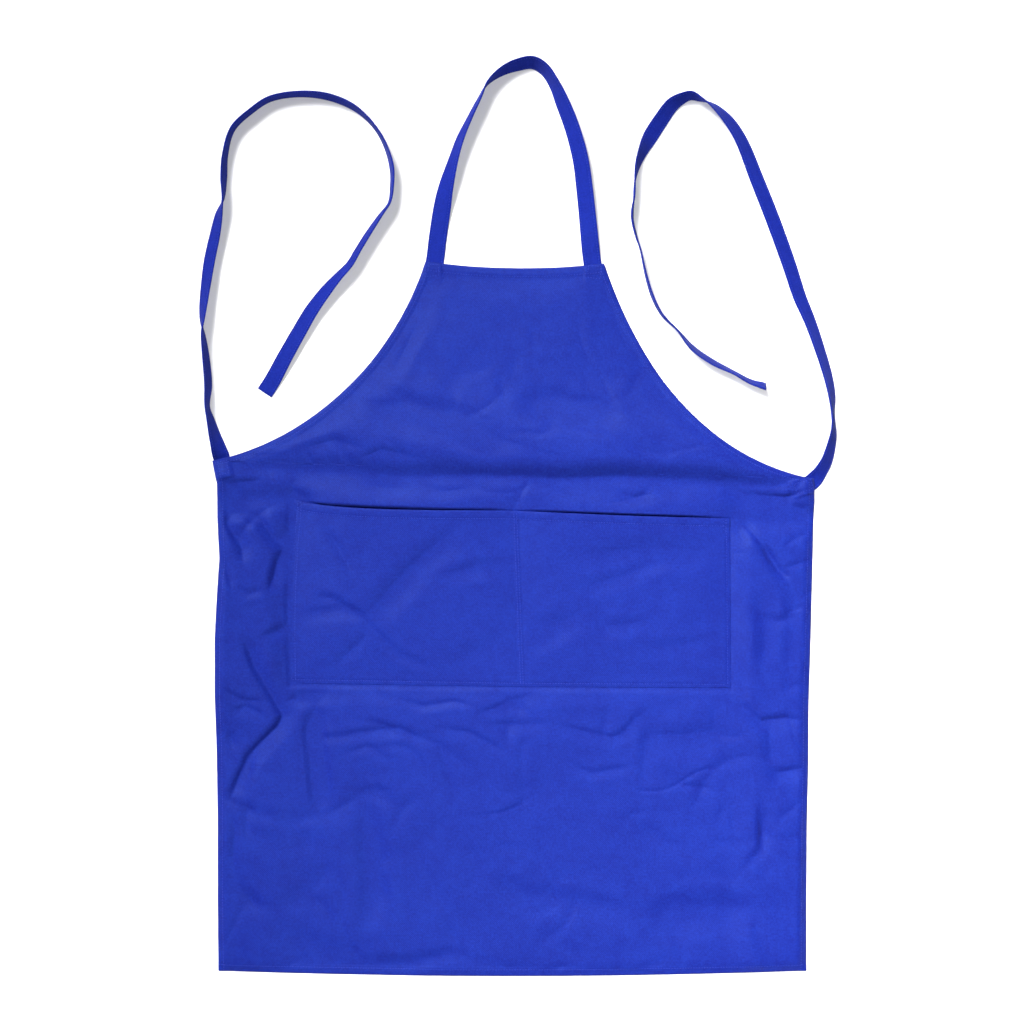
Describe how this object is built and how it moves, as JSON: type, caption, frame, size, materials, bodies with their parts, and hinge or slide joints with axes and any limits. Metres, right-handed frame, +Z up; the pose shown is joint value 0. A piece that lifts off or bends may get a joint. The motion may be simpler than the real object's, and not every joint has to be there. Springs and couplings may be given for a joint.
{
  "type": "bib apron",
  "caption": "Cotton bib apron lying flat with its front up, with a neck strap, free waist ties and a patch pocket split by a centre seam.",
  "frame": {"origin": "on the surface that the apron lies on, under the middle of the whole laid-out apron", "axes": "+X to the right as seen from above, +Y from the hem towards the neck strap, +Z up off the surface"},
  "size_m": [0.7772, 1.1146, 0.0221],
  "materials": {
    "body_cloth": "matt royal blue cotton twill",
    "pocket_cloth": "matt royal blue cotton twill",
    "strap_cloth": "matt royal blue cotton twill, folded and stitched flat"
  },
  "bodies": {
    "root": {"apron_body": "body_cloth", "pocket": "pocket_cloth", "neck_strap": "strap_cloth", "waist_tie_left": "strap_cloth", "waist_tie_right": "strap_cloth"}
  },
  "joints": []
}
